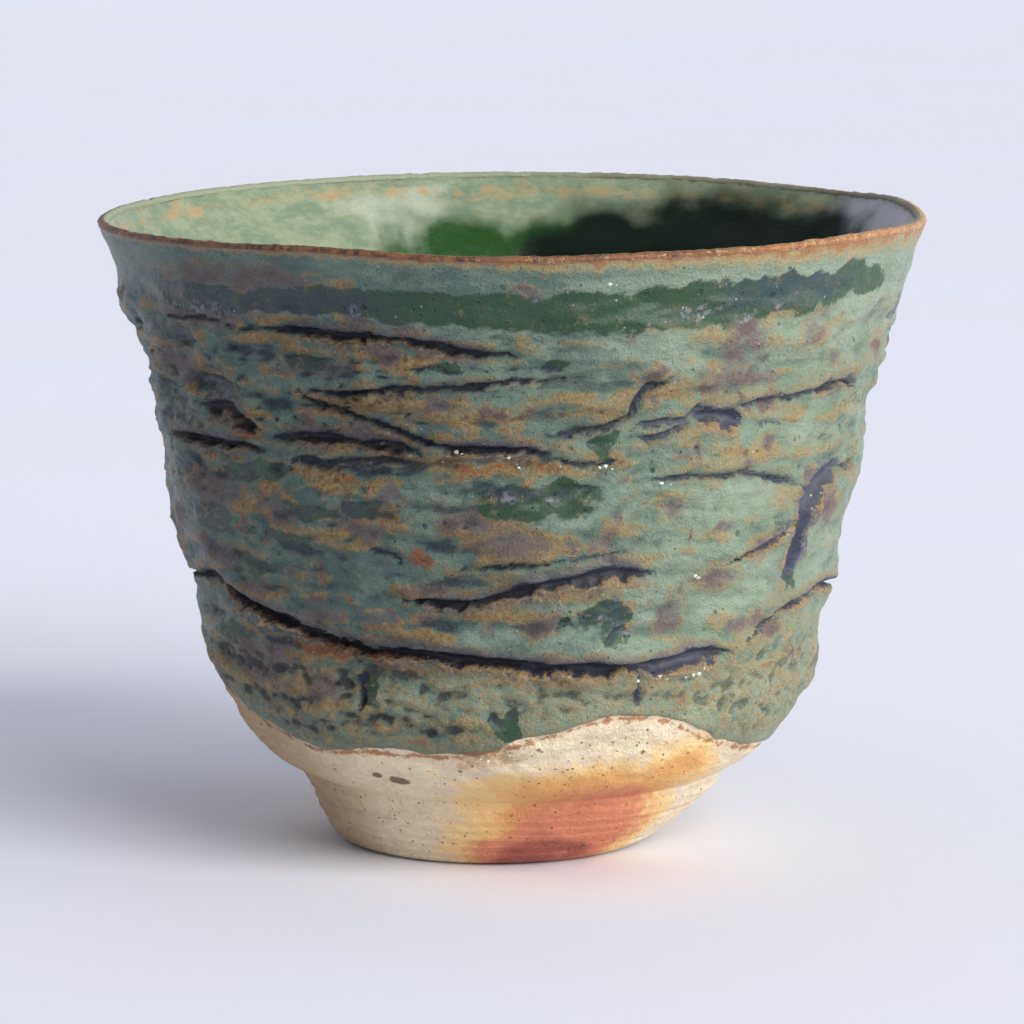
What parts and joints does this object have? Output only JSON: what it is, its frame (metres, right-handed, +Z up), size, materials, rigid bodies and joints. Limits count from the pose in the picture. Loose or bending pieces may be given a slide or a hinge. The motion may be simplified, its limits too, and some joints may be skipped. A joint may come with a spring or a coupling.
{
  "type": "sake cup",
  "caption": "Hand-thrown stoneware sake cup with a flared lip, a torn green glaze outside, a green glaze inside and a bare turned foot ring.",
  "frame": {"origin": "middle of the flat ring under the foot, where the cup stands", "axes": "+Z up along the cup's axis, -Y towards the pictured side, +X to its right"},
  "size_m": [0.068, 0.068, 0.0523],
  "materials": {
    "bare_clay": "matte",
    "flashed_clay": "matte",
    "torn_glaze": "satin",
    "green_liner": "gloss",
    "iron_lip": "satin"
  },
  "bodies": {
    "root": {"clay_bowl": "bare_clay", "foot_ring": "flashed_clay", "outer_glaze": "torn_glaze", "inner_glaze": "green_liner", "lip_glaze": "iron_lip"}
  },
  "joints": []
}
